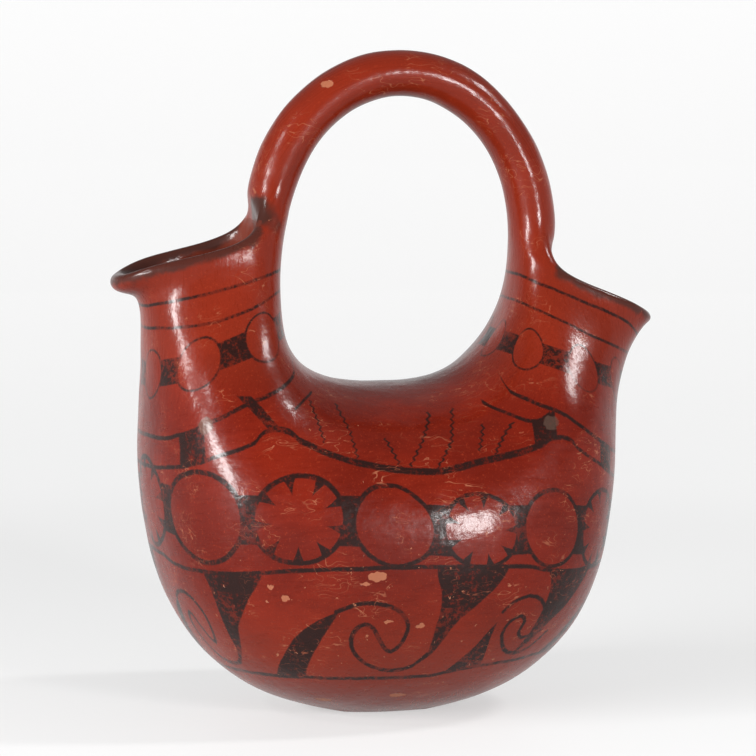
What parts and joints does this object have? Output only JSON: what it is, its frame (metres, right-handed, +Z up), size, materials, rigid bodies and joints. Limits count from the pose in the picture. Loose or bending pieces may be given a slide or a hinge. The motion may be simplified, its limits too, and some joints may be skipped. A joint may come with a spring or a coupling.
{
  "type": "wedding vase",
  "caption": "Hollow clay vessel with a deep round bowl, a spout rising at each side and a strap handle arching from rim to rim.",
  "frame": {"origin": "centre of the bounding box at the level of the foot", "axes": "+Z up from the foot to the handle, +X towards the lower spout, +Y from the front to the back"},
  "size_m": [0.2428, 0.1684, 0.2897],
  "materials": {
    "burnished_clay": "fired clay, red slip burnished to a semi-gloss, painted in black"
  },
  "bodies": {
    "root": {"vase": "burnished_clay"}
  },
  "joints": []
}
